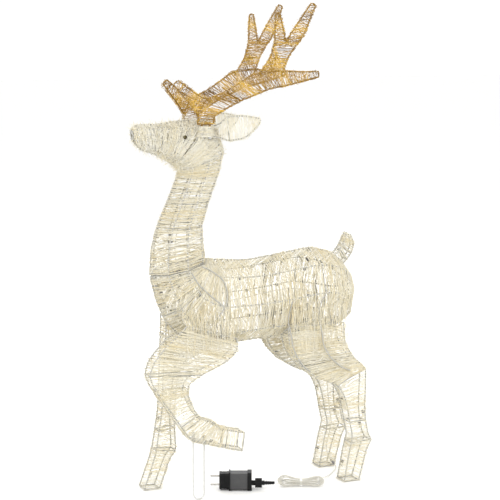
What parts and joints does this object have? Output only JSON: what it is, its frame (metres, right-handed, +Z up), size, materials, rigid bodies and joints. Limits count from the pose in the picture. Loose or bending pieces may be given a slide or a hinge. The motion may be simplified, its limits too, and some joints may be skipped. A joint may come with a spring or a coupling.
{
  "type": "light up yard reindeer",
  "caption": "Standing light-up yard reindeer of thread-wound wire frames, one front leg lifted on a wire prop, with gold antlers, a tied lead and a plug-in adapter.",
  "frame": {"origin": "on the ground under the middle of the deer", "axes": "+Z up, the nose towards -X, the left side towards -Y"},
  "size_m": [0.5149, 0.1784, 1.01],
  "materials": {
    "frame_wire": "white lacquer, thin",
    "gold_wire": "gold lacquer",
    "cream_thread": "matte twisted cotton",
    "gold_thread": "glittering twisted thread",
    "bulb_clear": "clear moulded",
    "holder_grey": "moulded",
    "clear_lead": "clear flexible sheath",
    "tie_white": "moulded",
    "black_plastic": "fine grain moulded",
    "grey_plastic": "fine grain moulded",
    "pin_nickel": "polished nickel",
    "board_green": "solder resist",
    "ferrite": "pressed",
    "eye_black": "polished"
  },
  "bodies": {
    "deer": {"torso_rails": "frame_wire", "torso_hoops": "frame_wire", "torso_winding": "cream_thread", "hind_leg_frame_left": "frame_wire", "hind_leg_frame_right": "frame_wire", "front_leg_frame_right": "frame_wire", "front_leg_frame_left": "frame_wire", "hind_thigh_winding_left": "cream_thread", "hind_thigh_winding_right": "cream_thread", "hind_shank_winding_left": "cream_thread", "hind_shank_winding_right": "cream_thread", "front_arm_winding_right": "cream_thread", "front_shank_winding_right": "cream_thread", "front_arm_winding_left": "cream_thread", "front_shank_winding_left": "cream_thread", "front_hoof_winding_left": "cream_thread", "post_sleeves": "frame_wire", "prop_sleeves": "frame_wire", "tail_frame": "frame_wire", "tail_winding": "cream_thread", "body_bulbs": "bulb_clear", "body_bulb_holders": "holder_grey", "led_lead_body": "clear_lead", "neck_led_socket": "holder_grey", "lead_ties": "holder_grey", "hoof_lead_clip": "holder_grey", "mains_pins": "pin_nickel", "plug_housing": "black_plastic", "adapter_flange": "black_plastic", "adapter_shell": "grey_plastic", "adapter_end_cap": "black_plastic", "output_socket": "black_plastic", "circuit_board": "board_green", "transformer": "ferrite", "lead_plug": "black_plastic", "lead_plug_tail": "black_plastic", "lead_hoof_to_hank": "clear_lead", "lead_hank_to_plug": "clear_lead", "lead_hank": "clear_lead", "hank_tie": "tie_white"},
    "head": {"head_neck_rails": "frame_wire", "head_neck_hoops": "frame_wire", "neck_winding": "cream_thread", "head_winding": "cream_thread", "ear_frame_left": "frame_wire", "ear_frame_right": "frame_wire", "ear_winding_left": "cream_thread", "ear_winding_right": "cream_thread", "antler_sleeves": "frame_wire", "head_bulbs": "bulb_clear", "head_bulb_holders": "holder_grey", "led_lead_head": "clear_lead", "neck_led_plug": "holder_grey", "eye_beads": "eye_black"},
    "left_antler": {"antler_frame_left": "gold_wire", "antler_winding_left": "gold_thread"},
    "right_antler": {"antler_frame_right": "gold_wire", "antler_winding_right": "gold_thread"},
    "prop": {"prop": "frame_wire"},
    "coupling_nut": {"coupling_nut": "black_plastic"}
  },
  "joints": [
    {"name": "head_lift", "type": "slide", "parent": "deer", "child": "head", "axis": [-0.2368, 0, 0.9716], "range_m": [0, 0.04]},
    {"name": "left_antler_lift", "type": "slide", "parent": "head", "child": "left_antler", "axis": [0, 0, 1], "range_m": [0, 0.03]},
    {"name": "right_antler_lift", "type": "slide", "parent": "head", "child": "right_antler", "axis": [0, 0, 1], "range_m": [0, 0.03]},
    {"name": "prop_level", "type": "slide", "parent": "deer", "child": "prop", "axis": [0, 0, 1], "range_m": [0, 0.022]},
    {"name": "coupling_nut_turn", "type": "hinge", "parent": "deer", "child": "coupling_nut", "pos_m": [-0.091, -0.0031, 0.014], "axis": [0.9135, -0.4067, 0], "range_deg": [0, 450]}
  ]
}
